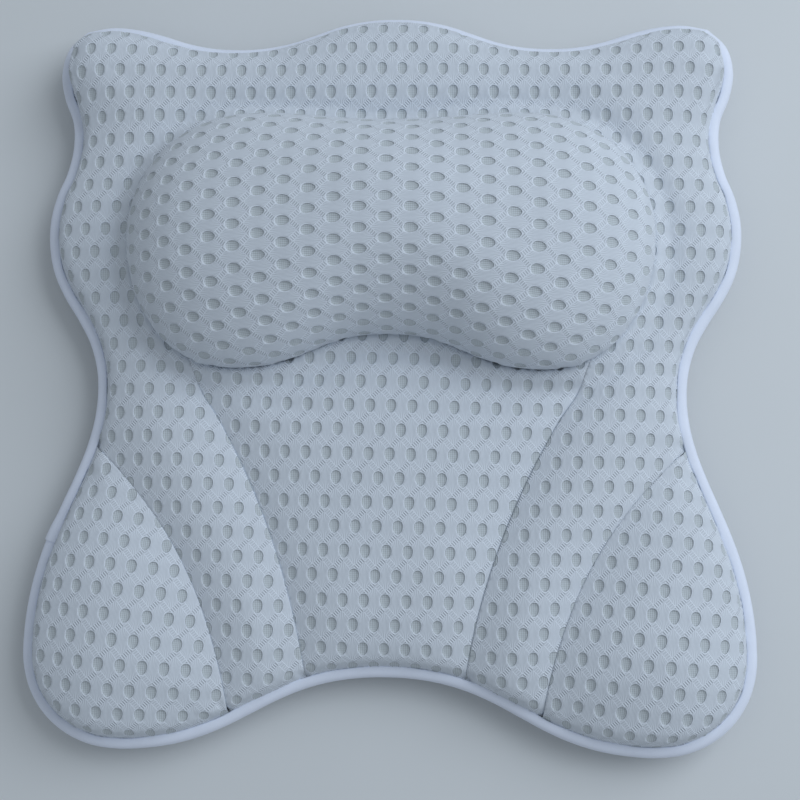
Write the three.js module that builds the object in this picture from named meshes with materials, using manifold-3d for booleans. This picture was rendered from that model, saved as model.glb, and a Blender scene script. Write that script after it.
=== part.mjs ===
// Bath pillow: a quilted pad of spacer mesh with a bean-shaped neck roll, a bound edge and suction cups.
// Millimetres, +Z up. The pillow lies face up on its cups, with the origin under the middle of the pad.

import * as THREE from "three";
import { mergeVertices } from "three/addons/utils/BufferGeometryUtils.js";
import Module from "manifold-3d";

const wasm = await Module();
wasm.setup();

// Pad edge: places where it runs level or upright. A drop is from the crest, a rise is from the wings' foot.
const PAD_LENGTH = 392; // crest to foot
const PAD_WIDTH = 378; // across the wings
const DIP_X = 85;
const DIP_DROP = 17;
const SHOULDER_X = 159;
const SHOULDER_DROP = 4;
const SHOULDER_WIDTH = 366;
const SHOULDER_SIDE_DROP = 31;
const NOTCH_WIDTH = 349;
const NOTCH_DROP = 68;
const SIDE_WIDTH = 371;
const SIDE_DROP = 120;
const WAIST_WIDTH = 311;
const WAIST_DROP = 208;
const WING_SIDE_RISE = 51;
const WING_X = 137;
const ARCH_RISE = 38;

// Seams: where each starts and ends, and the point that its curve is drawn towards.
const INNER_FOOT_X = 40;
const INNER_BEND_X = 50;
const INNER_BEND_RISE = 112;
const INNER_TOP_X = 100;
const INNER_TOP_DROP = 203;
const OUTER_FOOT_X = 79;
const OUTER_BEND_X = 90;
const OUTER_BEND_RISE = 105;
const OUTER_TOP_DROP = 232;

// Neck roll, seen from above at its fattest.
const ROLL_LENGTH = 276;
const ROLL_DROP = 62;
const ROLL_TOP_X = 72;
const ROLL_TOP_DIP = 4;
const ROLL_END_DROP = 128;
const ROLL_FOOT_X = 81;
const ROLL_FOOT_DROP = 200;
const ROLL_WAIST_RISE = 19; // above the foot of its lobes
const ROLL_HEIGHT = 53; // above its base cloth
const ROLL_FAT_HEIGHT = 8; // where it is fattest
const ROLL_SLOPE = 1.15; // 1 for a round section, more for flatter sides
const ROLL_END_FALL = 9; // how much lower its crown line ends than its middle
const ROLL_TUCK = 6; // drawn in at its base
const ROLL_SPINE = 160; // length of its crown line
const ROLL_LEDGE = 6; // how far the yoke runs in under its base

// Cloth and padding.
const MESH_T = 5; // spacer mesh
const RIM_T = 2.2; // spacer mesh where it is sewn flat
const BACK_T = 3;
const BASE_T = 1.2;
const YOKE_CROWN = 25; // padding above the sewn rim
const CENTRE_CROWN = 22;
const WING_CROWN = 28;
const YOKE_ROUND = 36; // how far in from a seam the crown keeps rising
const CENTRE_ROUND = 40;
const WING_ROUND = 42;
const SEAT_RISE = 15; // where the roll presses the pad down
const SEAT_EDGE = 4; // flat for this far outside the roll
const SEAT_SLOPE = 14;

// Binding tape, folded round the sewn edges, with its last stretch lapped over its first.
const TAPE_T = 1;
const TAPE_W = 5.6;
const TAPE_CORNER = 1.2;
const LAP_LENGTH = 16;
const LAP_DROP = 285;
const LAP_STEP = 2; // run in which it climbs over its start

// Suction cups and their patches. An inset is from the pad's width at that place.
const SHOULDER_CUP_INSET = 55;
const SHOULDER_CUP_DROP = 46;
const SIDE_CUP_INSET = 63.5;
const SIDE_CUP_DROP = 164;
const WING_CUP_INSET = 47;
const WING_CUP_RISE = 58;
const CUP_R = 25;
const CUP_RIM_W = 2.4;
const CUP_RIM_T = 1.2;
const CUP_HEIGHT = 12; // rim to shoulder
const CUP_CROWN_T = 3.6; // wall in the middle
const CUP_SHOULDER_R = 8;
const CUP_NECK_R = 5;
const CUP_HEAD_R = 8.4;
const CUP_HEAD_T = 5;
const CUP_HEAD_EDGE = 2;
const TAB_W = 9;
const TAB_REACH = 7;
const PATCH_R = 17;
const PATCH_T = 1.2;

// Clearances.
const GAP = 0.3; // between pieces that lie on each other
const EDGE_GAP = 1.2; // from a cut edge to the fold of the tape
const TAPE_GAP = 1.2; // from the tape to where the padding rises
const SEAM_GAP = 0.4; // each side of an inner seam
const FOLD_GAP = 0.9; // each side of an outer seam, where a wing folds
const FILL_GAP = 0.6;
const POCKET_GAP = 0.8;

// How finely the forms are drawn.
const EDGE_STEPS = 104;
const PANEL_COLUMNS = 6;
const SEAM_ROWS = 7;
const SIDE_ROWS = 24;
const WING_ROWS = 17;
const ROLL_STEPS = 16;
const ROUND_STEPS = 24;
const CURVE_STEPS = 3;
const HIDDEN_STEPS = 12;

const TOP = PAD_LENGTH / 2;
const FOOT = -PAD_LENGTH / 2;

// Levels, from the cup rims up.
const PATCH_Z = CUP_HEIGHT + GAP;
const BACK_Z = PATCH_Z + PATCH_T + GAP;
const LINING_Z = BACK_Z + BACK_T + GAP;
const RIM_Z = LINING_Z + RIM_T;
const SEAT_Z = RIM_Z + SEAT_RISE;
const BASE_Z = SEAT_Z + GAP;
const ROLL_Z = BASE_Z + BASE_T + GAP;

// Sewn edge: the cut edge lies in the tape's fold, and the padding starts where the tape ends.
const CUT_INSET = TAPE_T + EDGE_GAP;
const TAPE_INSET = TAPE_W + TAPE_GAP;

const { lerp, clamp, smoothstep } = THREE.MathUtils;

// Half an outline through points where it runs level or upright, from its top to its bottom.
function halfOutline(turns) {
  const path = new THREE.CurvePath();
  const handle = (from, to, reach) =>
    from.level
      ? new THREE.Vector2(lerp(from.x, to.x, reach), from.y)
      : new THREE.Vector2(from.x, lerp(from.y, to.y, reach));
  for (let i = 0; i + 1 < turns.length; i++) {
    const a = turns[i];
    const b = turns[i + 1];
    const reach = a.level === b.level ? 0.48 : 0.57;
    path.add(
      new THREE.CubicBezierCurve(
        new THREE.Vector2(a.x, a.y),
        handle(a, b, a.tight ?? reach),
        handle(b, a, reach),
        new THREE.Vector2(b.x, b.y),
      ),
    );
  }
  return path;
}

const edge = halfOutline([
  { x: 0, y: TOP, level: true },
  { x: DIP_X, y: TOP - DIP_DROP, level: true },
  { x: SHOULDER_X, y: TOP - SHOULDER_DROP, level: true },
  { x: SHOULDER_WIDTH / 2, y: TOP - SHOULDER_SIDE_DROP, level: false },
  { x: NOTCH_WIDTH / 2, y: TOP - NOTCH_DROP, level: false },
  { x: SIDE_WIDTH / 2, y: TOP - SIDE_DROP, level: false },
  { x: WAIST_WIDTH / 2, y: TOP - WAIST_DROP, level: false, tight: 0.33 },
  { x: PAD_WIDTH / 2, y: FOOT + WING_SIDE_RISE, level: false },
  { x: WING_X, y: FOOT, level: true },
  { x: 0, y: FOOT + ARCH_RISE, level: true },
]);

const bean = halfOutline([
  { x: 0, y: TOP - ROLL_DROP - ROLL_TOP_DIP, level: true },
  { x: ROLL_TOP_X, y: TOP - ROLL_DROP, level: true },
  { x: ROLL_LENGTH / 2, y: TOP - ROLL_END_DROP, level: false },
  { x: ROLL_FOOT_X, y: TOP - ROLL_FOOT_DROP, level: true },
  { x: 0, y: TOP - ROLL_FOOT_DROP + ROLL_WAIST_RISE, level: true },
]);

// A point of a curve, moved to the left of its run by an offset.
function besides(curve, t, offset) {
  const p = curve.getPoint(t);
  const d = curve.getTangent(t);
  return new THREE.Vector2(p.x - d.y * offset, p.y + d.x * offset);
}

// A point of the right half of the pad's edge, s from crest (0) to arch (1), moved in by an inset.
const edgePoint = (s, inset) => besides(edge, s, -inset);

const mirrored = (p) => new THREE.Vector2(-p.x, p.y);

// Where p is nearest to a line of points: how far it is, and at which share of the line.
function nearest(line, p) {
  let best = { gap: Infinity, share: 0 };
  for (let i = 0; i + 1 < line.length; i++) {
    const along = line[i + 1].clone().sub(line[i]);
    const t = clamp(p.clone().sub(line[i]).dot(along) / along.lengthSq(), 0, 1);
    const gap = line[i].clone().addScaledVector(along, t).distanceTo(p);
    if (gap < best.gap) best = { gap, share: (i + t) / (line.length - 1) };
  }
  return best;
}

// The share of a rising or falling function where it reaches a value.
function solve(from, to, value, f) {
  const rising = f(to) > f(from);
  for (let i = 0; i < 40; i++) {
    const middle = (from + to) / 2;
    if (f(middle) < value === rising) from = middle;
    else to = middle;
  }
  return from;
}

const points = (curve, n) => Array.from({ length: n + 1 }, (_, i) => curve.getPoint(i / n));
const edgeLine = points(edge, 300);

const turnShare = (x, y) => nearest(edgeLine, new THREE.Vector2(x, y)).share;
const wingSideShare = turnShare(PAD_WIDTH / 2, FOOT + WING_SIDE_RISE);
const wingFootShare = turnShare(WING_X, FOOT);
const waistShare = turnShare(WAIST_WIDTH / 2, TOP - WAIST_DROP);
const footAt = (x) => edge.getPoint(solve(wingFootShare, 1, x, (s) => edge.getPoint(s).x));
const sideAt = (drop) =>
  edge.getPoint(solve(waistShare, wingSideShare, TOP - drop, (s) => edge.getPoint(s).y));

const innerTop = new THREE.Vector2(INNER_TOP_X, TOP - INNER_TOP_DROP);
const innerBend = new THREE.Vector2(INNER_BEND_X, FOOT + INNER_BEND_RISE);
const innerSeam = new THREE.QuadraticBezierCurve(footAt(INNER_FOOT_X), innerBend, innerTop);

// Under the roll the inner seam runs on beside the roll's base, up to the middle of its top.
const endShare = solve(0, 1, TOP - ROLL_END_DROP, (s) => bean.getPoint(s).y);
const upperShare = (x) => solve(0, endShare, x, (s) => bean.getPoint(s).x);
const lowerShare = (x) => solve(endShare, 1, x, (s) => bean.getPoint(s).x);
const hiddenStart = lowerShare(INNER_TOP_X + ROLL_TUCK);
const hiddenPoints = Array.from({ length: HIDDEN_STEPS }, (_, i) =>
  besides(bean, hiddenStart * (1 - i / HIDDEN_STEPS), -ROLL_TUCK - ROLL_LEDGE),
);
const archTop = new THREE.Vector2(0, bean.getPoint(0).y - ROLL_TUCK - ROLL_LEDGE);
const hiddenSeam = new THREE.SplineCurve([innerTop, ...hiddenPoints, archTop]);
const innerPath = new THREE.CurvePath();
innerPath.add(innerSeam);
innerPath.add(hiddenSeam);
const hiddenShare = innerSeam.getLength() / innerPath.getLength();
const outerSeam = new THREE.QuadraticBezierCurve(
  footAt(OUTER_FOOT_X),
  new THREE.Vector2(OUTER_BEND_X, FOOT + OUTER_BEND_RISE),
  sideAt(OUTER_TOP_DROP),
);

const innerLine = points(innerSeam, 40);
const outerLine = points(outerSeam, 40);
const beanLine = points(bean, 80);

const onRight = (p) => new THREE.Vector2(Math.abs(p.x), p.y);
const fromEdge = (p) => nearest(edgeLine, onRight(p)).gap;
const edgeShare = (p) => nearest(edgeLine, onRight(p)).share;
const fromInner = (p) => nearest(innerLine, onRight(p)).gap;
const fromOuter = (p) => nearest(outerLine, onRight(p)).gap;

// How far p is outside the roll's fattest outline.
function outsideRoll(p) {
  const { gap, share } = nearest(beanLine, onRight(p));
  const out = besides(bean, share, 1).sub(bean.getPoint(share));
  const away = onRight(p).sub(bean.getPoint(share));
  return away.dot(out) > 0 ? gap : -gap;
}

// Height of a panel's face: it rises from each line that holds it, and is flat under the roll.
const swell = (gap, round) => 1 - (1 - clamp(gap / round, 0, 1)) ** 2.4;
function padForm(crown, round, heldBy) {
  const holds = (p) => heldBy.map((held) => held(p));
  const face = (p) => {
    const rise = holds(p).reduce((part, gap) => part * swell(gap, round), 1);
    const seat = 1 - smoothstep(outsideRoll(p), SEAT_EDGE, SEAT_EDGE + SEAT_SLOPE);
    return lerp(RIM_Z + crown * rise, SEAT_Z, seat);
  };
  const lining = (p) => face(p) - lerp(RIM_T, MESH_T, smoothstep(Math.min(...holds(p)), 0, 12));
  return { face, lining };
}
const atTape = (p) => fromEdge(p) - TAPE_INSET;
const atInner = (p) => fromInner(p) - SEAM_GAP;
const atOuter = (p) => fromOuter(p) - FOLD_GAP;

// One closed mesh from corners and triangles. Corners that meet are made one.
function closed(corners, triangles) {
  const raw = new THREE.BufferGeometry();
  raw.setAttribute("position", new THREE.Float32BufferAttribute(corners, 3));
  raw.setIndex(triangles);
  return welded(raw);
}

function welded(raw) {
  const bare = new THREE.BufferGeometry();
  bare.setAttribute("position", raw.getAttribute("position"));
  bare.setIndex(raw.getIndex());
  const geometry = mergeVertices(bare, 1e-3);
  const index = geometry.getIndex().array;
  const kept = [];
  for (let i = 0; i < index.length; i += 3) {
    const [a, b, c] = index.slice(i, i + 3);
    if (a !== b && b !== c && c !== a) kept.push(a, b, c);
  }
  geometry.setIndex(kept);
  return geometry;
}

// A body over a net of rows of points, between an upper and a lower surface.
function netBody(rows, upper, lower) {
  const columns = rows[0].length;
  const corners = [];
  for (const surface of [upper, lower]) {
    for (const row of rows) {
      for (const p of row) corners.push(p.x, p.y, surface(p));
    }
  }
  const at = (r, c, below) => r * columns + c + (below ? rows.length * columns : 0);
  const triangles = [];
  const quad = (a, b, c, d) => triangles.push(a, b, c, a, c, d);
  for (let r = 0; r + 1 < rows.length; r++) {
    for (let c = 0; c + 1 < columns; c++) {
      quad(at(r, c), at(r, c + 1), at(r + 1, c + 1), at(r + 1, c));
      quad(at(r, c, true), at(r + 1, c, true), at(r + 1, c + 1, true), at(r, c + 1, true));
    }
    const last = columns - 1;
    quad(at(r, 0, true), at(r, 0), at(r + 1, 0), at(r + 1, 0, true));
    quad(at(r, last), at(r, last, true), at(r + 1, last, true), at(r + 1, last));
  }
  for (let c = 0; c + 1 < columns; c++) {
    const end = rows.length - 1;
    quad(at(0, c, true), at(0, c + 1, true), at(0, c + 1), at(0, c));
    quad(at(end, c), at(end, c + 1), at(end, c + 1, true), at(end, c, true));
  }
  return closed(corners, triangles);
}

// Shares across a panel, closer together near its sides.
const acrossShares = Array.from(
  { length: PANEL_COLUMNS + 1 },
  (_, i) => 0.5 - 0.5 * Math.cos((Math.PI * i) / PANEL_COLUMNS),
);
const across = (a, b) => acrossShares.map((v) => a.clone().lerp(b, v));

// The share of a seam where a line beside it is an inset away from the pad's edge.
const seamShare = (seam, offset, inset, from, to) =>
  solve(from, to, inset, (t) => fromEdge(besides(seam, t, offset)));

// Rows of the right wing, from its upper tip along the outer seam to its foot.
function wingRows() {
  const beside = (t) => besides(outerSeam, t, -FOLD_GAP);
  const share = (inset, end) => seamShare(outerSeam, -FOLD_GAP, inset, end, 0.5);
  const tip = beside(share(CUT_INSET, 1));
  const foot = beside(share(CUT_INSET, 0));
  const first = share(TAPE_INSET, 1);
  const last = share(TAPE_INSET, 0);
  const rows = [Array(PANEL_COLUMNS + 2).fill(tip)];
  for (let k = 0; k <= WING_ROWS; k++) {
    const t = lerp(first, last, k / WING_ROWS);
    const s = lerp(edgeShare(beside(first)), edgeShare(beside(last)), k / WING_ROWS);
    rows.push([edgePoint(s, CUT_INSET), ...across(edgePoint(s, TAPE_INSET), beside(t))]);
  }
  rows.push(Array(PANEL_COLUMNS + 2).fill(foot));
  return rows;
}

// Shares of the inner seam where rows of the yoke and of the centre panel end, so that the two match.
const innerFoot = seamShare(innerPath, 0, TAPE_INSET, 0, 0.3);
const innerPathLine = points(innerPath, 120);
const facing = (p) => nearest(innerPathLine, p).share;
const sideShare = edgeShare(sideAt(OUTER_TOP_DROP));
const innerSplit = facing(sideAt(OUTER_TOP_DROP));
const innerShares = [
  ...Array.from({ length: SEAM_ROWS }, (_, k) => lerp(innerFoot, innerSplit, (k + 1) / SEAM_ROWS)),
  ...Array.from({ length: SIDE_ROWS - 1 }, (_, k) =>
    facing(edge.getPoint(sideShare * (1 - (k + 1) / SIDE_ROWS))),
  ),
  1,
];

// Rows of the yoke's right half, from its foot between the seams up to the crest.
function yokeRows() {
  const outer = (t) => besides(outerSeam, t, FOLD_GAP);
  const inner = (q) => besides(innerPath, q, -SEAM_GAP);
  const outerShare = (inset, end) => seamShare(outerSeam, FOLD_GAP, inset, end, 0.5);
  const innerShare = (inset) => seamShare(innerPath, -SEAM_GAP, inset, 0, 0.3);
  const row = (cut, held, b) => [cut, ...across(held, b)];
  const first = outerShare(TAPE_INSET, 0);
  const last = outerShare(TAPE_INSET, 1);
  const corner = outer(outerShare(CUT_INSET, 1));
  const start = outer(outerShare(CUT_INSET, 0));
  const rows = [
    row(start, start, inner(innerShare(CUT_INSET))),
    row(outer(first), outer(first), inner(innerShare(TAPE_INSET))),
  ];
  innerShares.forEach((q, k) => {
    const b = q < 1 ? inner(q) : new THREE.Vector2(0, archTop.y + SEAM_GAP);
    if (k < SEAM_ROWS) {
      const a = outer(lerp(first, last, (k + 1) / SEAM_ROWS));
      rows.push(row(a, a, b));
    } else {
      const s = lerp(sideShare, 0, (k + 1 - SEAM_ROWS) / SIDE_ROWS);
      rows.push(row(edgePoint(s, CUT_INSET), edgePoint(s, TAPE_INSET), b));
    }
    if (k === SEAM_ROWS - 1) rows.push(row(corner, outer(last), b));
  });
  return rows;
}

// Rows of the centre panel, from the arch of the edge up to the roll's foot, then on under the roll
// until the hidden seam turns over the top. Its last row runs along that seam.
const TURN_SHARE = 0.55;
const LEAST_STEP = 0.03;
function centreRows() {
  const side = (q) => besides(innerPath, q, SEAM_GAP);
  const share = (inset) => seamShare(innerPath, SEAM_GAP, inset, 0, 0.3);
  const rows = [CUT_INSET, TAPE_INSET].map((inset) => {
    const s = edgeShare(side(share(inset)));
    return acrossShares.map((v) => {
      const p = edgePoint(lerp(s, 1, v < 0.5 ? 2 * v : 2 - 2 * v), inset);
      return v < 0.5 ? mirrored(p) : p;
    });
  });
  const sag = edgePoint(1, TAPE_INSET).y - side(innerFoot).y;
  const rollFoot = (x) => bean.getPoint(lowerShare(Math.abs(x))).y;
  const rollTop = (x) => bean.getPoint(upperShare(Math.abs(x))).y;
  const turn = lerp(hiddenShare, 1, TURN_SHARE);
  for (const q of innerShares.filter((share) => share < turn - LEAST_STEP)) {
    const seen = clamp((q - innerFoot) / (hiddenShare - innerFoot), 0, 1);
    const hidden = clamp((q - hiddenShare) / (1 - hiddenShare), 0, 1);
    const b = side(q);
    rows.push(
      across(mirrored(b), b).map(({ x, y }) => {
        const archBow = (1 - seen) * sag * (1 - (x / b.x) ** 2);
        const footBow = seen * (1 - hidden) * (rollFoot(x) - rollFoot(b.x));
        const topBow = hidden * (rollTop(x) - rollTop(b.x));
        return new THREE.Vector2(x, y + archBow + footBow + topBow);
      }),
    );
  }
  rows.push(
    acrossShares.map((v) => {
      const p = side(lerp(turn, 1, v < 0.5 ? 2 * v : 2 - 2 * v));
      return v < 0.5 ? mirrored(p) : p;
    }),
  );
  return rows;
}

const mirroredRows = (rows) => rows.map((row) => row.map(mirrored)).reverse();

function manifoldOf(geometry) {
  const bare = welded(geometry);
  const vertProperties = new Float32Array(bare.getAttribute("position").array);
  const triVerts = new Uint32Array(bare.getIndex().array);
  return new wasm.Manifold(new wasm.Mesh({ numProp: 3, vertProperties, triVerts }));
}

function geometryOf(body) {
  const mesh = body.getMesh();
  return closed(Array.from(mesh.vertProperties), Array.from(mesh.triVerts));
}

const cupPairs = [
  { at: "shoulder", x: SHOULDER_WIDTH / 2 - SHOULDER_CUP_INSET, y: TOP - SHOULDER_CUP_DROP },
  { at: "side", x: SIDE_WIDTH / 2 - SIDE_CUP_INSET, y: TOP - SIDE_CUP_DROP },
  { at: "wing", x: PAD_WIDTH / 2 - WING_CUP_INSET, y: FOOT + WING_CUP_RISE },
];
const cupSpots = cupPairs.flatMap(({ at, x, y }) => [
  { name: `${at}_left`, x: -x, y, side: -1 },
  { name: `${at}_right`, x, y, side: 1 },
]);

// A filling: the inner part of a panel's net, clear of its seams, with a pocket over each cup's head.
function filling(rows, form) {
  const net = rows.slice(2, -2).map((row) => row.slice(row.length - PANEL_COLUMNS, -1));
  const body = netBody(
    net,
    (p) => form.lining(p) - FILL_GAP,
    () => LINING_Z,
  );
  return geometryOf(
    cupSpots.reduce((left, { x, y }) => {
      const depth = CUP_HEAD_T + POCKET_GAP;
      const pocket = new THREE.CylinderGeometry(
        CUP_HEAD_R + POCKET_GAP,
        CUP_HEAD_R + POCKET_GAP,
        depth + 2,
        ROUND_STEPS,
      );
      pocket.rotateX(Math.PI / 2);
      pocket.translate(x, y, LINING_Z + depth / 2 - 1);
      return left.subtract(manifoldOf(pocket));
    }, manifoldOf(body)),
  );
}

// The roll's outline at its fattest as two lines from its left end to its right end, and its crown line.
const rollUpper = [];
const rollLower = [];
const rollMiddle = [];
for (let i = -ROLL_STEPS; i <= ROLL_STEPS; i++) {
  const share = Math.abs(i / ROLL_STEPS);
  const up = bean.getPoint(endShare * share);
  const down = bean.getPoint(lerp(1, endShare, share));
  rollUpper.push(i < 0 ? mirrored(up) : up);
  rollLower.push(i < 0 ? mirrored(down) : down);
  const x = ((i < 0 ? -1 : 1) * (up.x + down.x)) / 2;
  rollMiddle.push(new THREE.Vector2((x * ROLL_SPINE) / ROLL_LENGTH, (up.y + down.y) / 2));
}
const rollRing = [
  ...rollUpper.map((p, i) => ({ p, i })),
  ...rollLower
    .map((p, i) => ({ p, i }))
    .slice(1, -1)
    .reverse(),
];

// Rings of the roll from its base to near its crown line, all moved in by a wall.
function rollRings(wall, floor) {
  const fall = (i) => ROLL_END_FALL * Math.cos((Math.PI * i) / (2 * ROLL_STEPS)) ** 2;
  const ring = (inset, part, height) =>
    rollRing.map(({ p, i }) => {
      const middle = rollMiddle[i];
      const out = p.clone().sub(middle);
      const reach = (out.length() - wall - inset) * part;
      const q = middle.clone().addScaledVector(out.normalize(), reach);
      return new THREE.Vector3(q.x, q.y, height(i));
    });
  const fat = ROLL_Z + ROLL_FAT_HEIGHT;
  const rings = [0, 0.5].map((w) => ring(ROLL_TUCK * (1 - w) ** 2, 1, () => lerp(floor, fat, w)));
  for (const degrees of [0, 17, 34, 51, 66, 78]) {
    const angle = (degrees * Math.PI) / 180;
    const top = (i) => ROLL_Z + ROLL_HEIGHT - wall - fall(i) - fat;
    const rise = Math.sin(angle) ** ROLL_SLOPE;
    rings.push(ring(0, Math.cos(angle) ** ROLL_SLOPE, (i) => fat + top(i) * rise));
  }
  return rings;
}

// Triangles of a ringed dome. Its last ring is closed by a strip between its two long sides.
function domeTriangles(rings, start, flip) {
  const n = rings[0].length;
  const triangles = [];
  const add = (a, b, c) => triangles.push(...(flip ? [a, c, b] : [a, b, c]));
  for (let r = 0; r + 1 < rings.length; r++) {
    for (let i = 0; i < n; i++) {
      const j = (i + 1) % n;
      const a = start + r * n;
      add(a + i, a + n + j, a + j);
      add(a + i, a + n + i, a + n + j);
    }
  }
  triangles.push(...capTriangles(n, start + (rings.length - 1) * n, flip));
  return triangles;
}

function capTriangles(n, start, flip) {
  const triangles = [];
  const add = (a, b, c) => triangles.push(...(flip ? [a, c, b] : [a, b, c]));
  for (let i = 0; i < n / 2; i++) {
    const a = start + i;
    const b = start + i + 1;
    const c = start + ((n - i - 1) % n);
    const d = start + ((n - i) % n);
    add(a, c, b);
    if (i > 0) add(a, d, c);
  }
  return triangles;
}

const flat = (rings) => rings.flat().flatMap((p) => [p.x, p.y, p.z]);

function rollCover() {
  const outside = rollRings(0, ROLL_Z);
  const inside = rollRings(MESH_T, ROLL_Z);
  const n = outside[0].length;
  const start = outside.length * n;
  const triangles = [...domeTriangles(outside, 0, false), ...domeTriangles(inside, start, true)];
  for (let i = 0; i < n; i++) {
    const j = (i + 1) % n;
    triangles.push(i, j, start + j, i, start + j, start + i);
  }
  return closed([...flat(outside), ...flat(inside)], triangles);
}

function rollFill() {
  const rings = rollRings(MESH_T + FILL_GAP, ROLL_Z);
  const n = rings[0].length;
  return closed(flat(rings), [...domeTriangles(rings, 0, false), ...capTriangles(n, 0, true)]);
}

function rollBase() {
  const shape = new THREE.Shape(rollRings(0, ROLL_Z)[0].map((p) => new THREE.Vector2(p.x, p.y)));
  const base = new THREE.ExtrudeGeometry(shape, { depth: BASE_T, bevelEnabled: false });
  return welded(base.translate(0, 0, BASE_Z));
}

// A point of the whole edge with its inward direction, clockwise from the crest (0) by the arch (1).
function rim(turn) {
  const s = THREE.MathUtils.euclideanModulo(turn, 2);
  const at = (inset) => (s <= 1 ? edgePoint(s, inset) : mirrored(edgePoint(2 - s, inset)));
  return { p: at(0), inward: at(1).sub(at(0)) };
}
const halfLength = edge.getLength();

// The tape: a folded section carried round the edge, anticlockwise, from the lap back over itself.
function binding() {
  const low = BACK_Z - GAP - TAPE_T;
  const high = RIM_Z + GAP + TAPE_T;
  const section = (grow) => [
    [TAPE_W, high + grow],
    [TAPE_CORNER - grow, high + grow],
    [-grow, high - TAPE_CORNER],
    [-grow, low + TAPE_CORNER],
    [TAPE_CORNER - grow, low - grow],
    [TAPE_W, low - grow],
    [TAPE_W, low + TAPE_T - grow],
    [TAPE_T - grow, low + TAPE_T - grow],
    [TAPE_T - grow, high - TAPE_T + grow],
    [TAPE_W, high - TAPE_T + grow],
  ];
  const lapShare = edgeShare(new THREE.Vector2(-sideAt(LAP_DROP).x, TOP - LAP_DROP));
  const stops = [];
  const plain = 2 * halfLength - LAP_LENGTH - 2 * LAP_STEP;
  for (let i = 0; i <= EDGE_STEPS; i++) {
    stops.push({ length: (plain * i) / EDGE_STEPS - LAP_LENGTH, grow: 0 });
  }
  for (const back of [LAP_LENGTH + LAP_STEP, LAP_LENGTH / 2, 0]) {
    stops.push({ length: 2 * halfLength - back, grow: TAPE_T + GAP });
  }
  const corners = [];
  for (const { length, grow } of stops) {
    const { p, inward } = rim(2 - lapShare - length / halfLength);
    for (const [inset, z] of section(grow)) {
      corners.push(p.x + inward.x * inset, p.y + inward.y * inset, z);
    }
  }
  const n = section(0).length;
  const triangles = [];
  for (let r = 0; r + 1 < stops.length; r++) {
    for (let i = 0; i < n; i++) {
      const a = r * n + i;
      const b = r * n + ((i + 1) % n);
      triangles.push(a, b, b + n, a, b + n, a + n);
    }
  }
  const face = THREE.ShapeUtils.triangulateShape(
    section(0).map(([x, y]) => new THREE.Vector2(x, y)),
    [],
  );
  const end = (stops.length - 1) * n;
  for (const [a, b, c] of face) triangles.push(a, c, b, end + a, end + b, end + c);
  return closed(corners, triangles);
}

function holed(shape, x, y, radius) {
  const hole = new THREE.Path();
  hole.absarc(x, y, radius, 0, Math.PI * 2, true);
  shape.holes.push(hole);
}

function backPanel() {
  const outline = Array.from({ length: EDGE_STEPS }, (_, i) => {
    const { p, inward } = rim((-2 * i) / EDGE_STEPS);
    return p.addScaledVector(inward, CUT_INSET);
  });
  const shape = new THREE.Shape(outline);
  for (const { x, y } of cupSpots) holed(shape, x, y, CUP_NECK_R + GAP);
  const options = { depth: BACK_T, bevelEnabled: false, curveSegments: ROUND_STEPS / 2 };
  return welded(new THREE.ExtrudeGeometry(shape, options).translate(0, 0, BACK_Z));
}

function patch(spot) {
  const shape = new THREE.Shape();
  shape.absarc(spot.x, spot.y, PATCH_R, 0, Math.PI * 2, false);
  holed(shape, spot.x, spot.y, CUP_NECK_R + GAP);
  const options = { depth: PATCH_T, bevelEnabled: false, curveSegments: ROUND_STEPS / 2 };
  return welded(new THREE.ExtrudeGeometry(shape, options).translate(0, 0, PATCH_Z));
}

// A bow between two points of a turned profile, drawn towards a third.
function bow(from, towards, to) {
  const [a, b, c] = [from, towards, to].map(([x, y]) => new THREE.Vector2(x, y));
  return new THREE.QuadraticBezierCurve(a, b, c).getPoints(CURVE_STEPS);
}

// A cup: dome, neck and head turned in one, with a tab at its rim for peeling it off.
const DOME_BELLY = 0.72; // shares of the radius where dome and hollow are drawn towards
const HOLLOW_BELLY = 0.6;
function suctionCup(spot) {
  const ceiling = CUP_HEIGHT - CUP_CROWN_T;
  const head = LINING_Z + CUP_HEAD_T;
  const headEdge = LINING_Z + CUP_HEAD_EDGE;
  const profile = [
    ...bow([0, ceiling], [CUP_R * HOLLOW_BELLY, ceiling], [CUP_R - CUP_RIM_W, 0]),
    new THREE.Vector2(CUP_R, 0),
    ...bow([CUP_R, CUP_RIM_T], [CUP_R * DOME_BELLY, CUP_HEIGHT - CUP_RIM_T], [CUP_SHOULDER_R, CUP_HEIGHT]),
    new THREE.Vector2(CUP_NECK_R, CUP_HEIGHT),
    new THREE.Vector2(CUP_NECK_R, LINING_Z),
    new THREE.Vector2(CUP_HEAD_R, LINING_Z),
    ...bow([CUP_HEAD_R, headEdge], [CUP_HEAD_R, head], [0, head]),
  ];
  const turned = new THREE.LatheGeometry(profile, ROUND_STEPS).rotateX(Math.PI / 2);
  const tab = new THREE.BoxGeometry(TAB_REACH + CUP_RIM_W / 2, TAB_W, CUP_RIM_T);
  tab.translate(CUP_R + TAB_REACH / 2 - CUP_RIM_W / 4, 0, CUP_RIM_T / 2);
  if (spot.side > 0) tab.rotateZ(Math.PI);
  const cup = geometryOf(manifoldOf(turned).add(manifoldOf(tab)));
  return cup.translate(spot.x, spot.y, 0);
}

const group = new THREE.Group();
group.name = "bath_pillow";

function add(name, geometry, color) {
  const material = new THREE.MeshStandardMaterial({ color, roughness: 0.9 });
  geometry.computeVertexNormals();
  const mesh = new THREE.Mesh(geometry, material);
  mesh.name = name;
  group.add(mesh);
}

const MESH_WHITE = 0xe8edf2;
const TAPE_WHITE = 0xeeeef6;
const WADDING = 0xf4f3ee;
const CLEAR_PVC = 0xd4dee2;

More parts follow.
